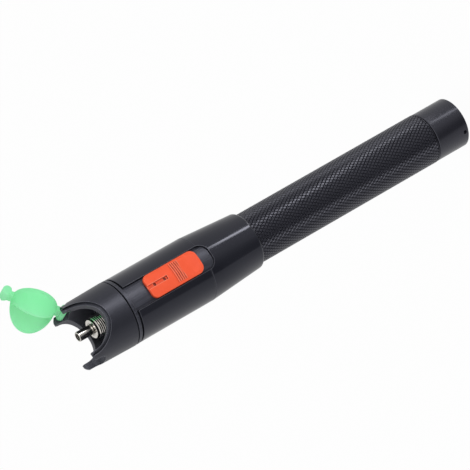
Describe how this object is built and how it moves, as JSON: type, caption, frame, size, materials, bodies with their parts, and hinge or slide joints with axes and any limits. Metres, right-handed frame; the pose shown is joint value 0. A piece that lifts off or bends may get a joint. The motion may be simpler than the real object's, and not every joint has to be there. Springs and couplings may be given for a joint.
{
  "type": "visual fault locator",
  "caption": "Pen-shaped fibre tester: knurled battery tube with screwed tail cap, tapered housing with a thumb slide, and a scalloped nose hood with a hinged dust cap.",
  "frame": {"origin": "centre of the tail rim's plane, on the pen's axis, where the pen stands on its tail", "axes": "+Z along the pen's axis from tail to nose, -Y through the middle of the slide switch, +X towards the dust cap's hinge"},
  "size_m": [0.042, 0.0271, 0.195],
  "materials": {
    "black_anodised": "satin black anodised, knurled on the tube",
    "seal_rubber": "matt black rubber",
    "spring_steel": "drawn wire, plain",
    "cell_wrap": "plain printed film over a steel can",
    "ivory_plastic": "moulded, natural",
    "brass": "turned, bare",
    "black_plastic": "satin black moulding",
    "orange_plastic": "satin orange moulding",
    "dark_plastic": "moulded, black",
    "board": "green solder mask on glass laminate",
    "gold_steel": "gold plated can",
    "lens_glass": "polished",
    "nickel_metal": "bright nickel plate",
    "zirconia": "ground white ceramic",
    "green_elastomer": "translucent mint green elastomer"
  },
  "bodies": {
    "body": {"battery_tube": "black_anodised", "battery_rear": "cell_wrap", "battery_front": "cell_wrap", "contact_holder": "ivory_plastic", "front_contact": "brass", "rear_housing": "black_plastic", "front_sleeve": "black_plastic", "inner_barrel": "black_plastic", "switch_body": "spring_steel", "circuit_board": "board", "laser_housing": "brass", "laser_diode": "gold_steel", "focus_lens": "lens_glass", "lens_spring": "spring_steel", "lens_retainer": "brass", "connector_body": "nickel_metal", "ferrule_tube": "nickel_metal", "ceramic_sleeve": "zirconia", "connector_collar": "nickel_metal", "lock_nut": "nickel_metal", "hood_screws": "nickel_metal", "nose_hood": "black_plastic"},
    "cap": {"dust_cap": "green_elastomer"},
    "button": {"slide_button": "orange_plastic", "switch_lever": "dark_plastic"},
    "tail": {"tail_cap": "black_anodised", "tail_spring": "spring_steel", "tail_o_ring": "seal_rubber"}
  },
  "joints": [
    {"name": "cap_hinge", "type": "hinge", "parent": "body", "child": "cap", "pos_m": [0.01075, 0, 0.1788], "axis": [0, 1, 0], "range_deg": [-138.5, 40]},
    {"name": "thumb_slide", "type": "slide", "parent": "body", "child": "button", "axis": [0, 0, 1], "range_m": [-0.003, 0.003]},
    {"name": "tail_unscrew", "type": "slide", "parent": "body", "child": "tail", "axis": [0, 0, -1], "range_m": [0, 0.009]}
  ]
}
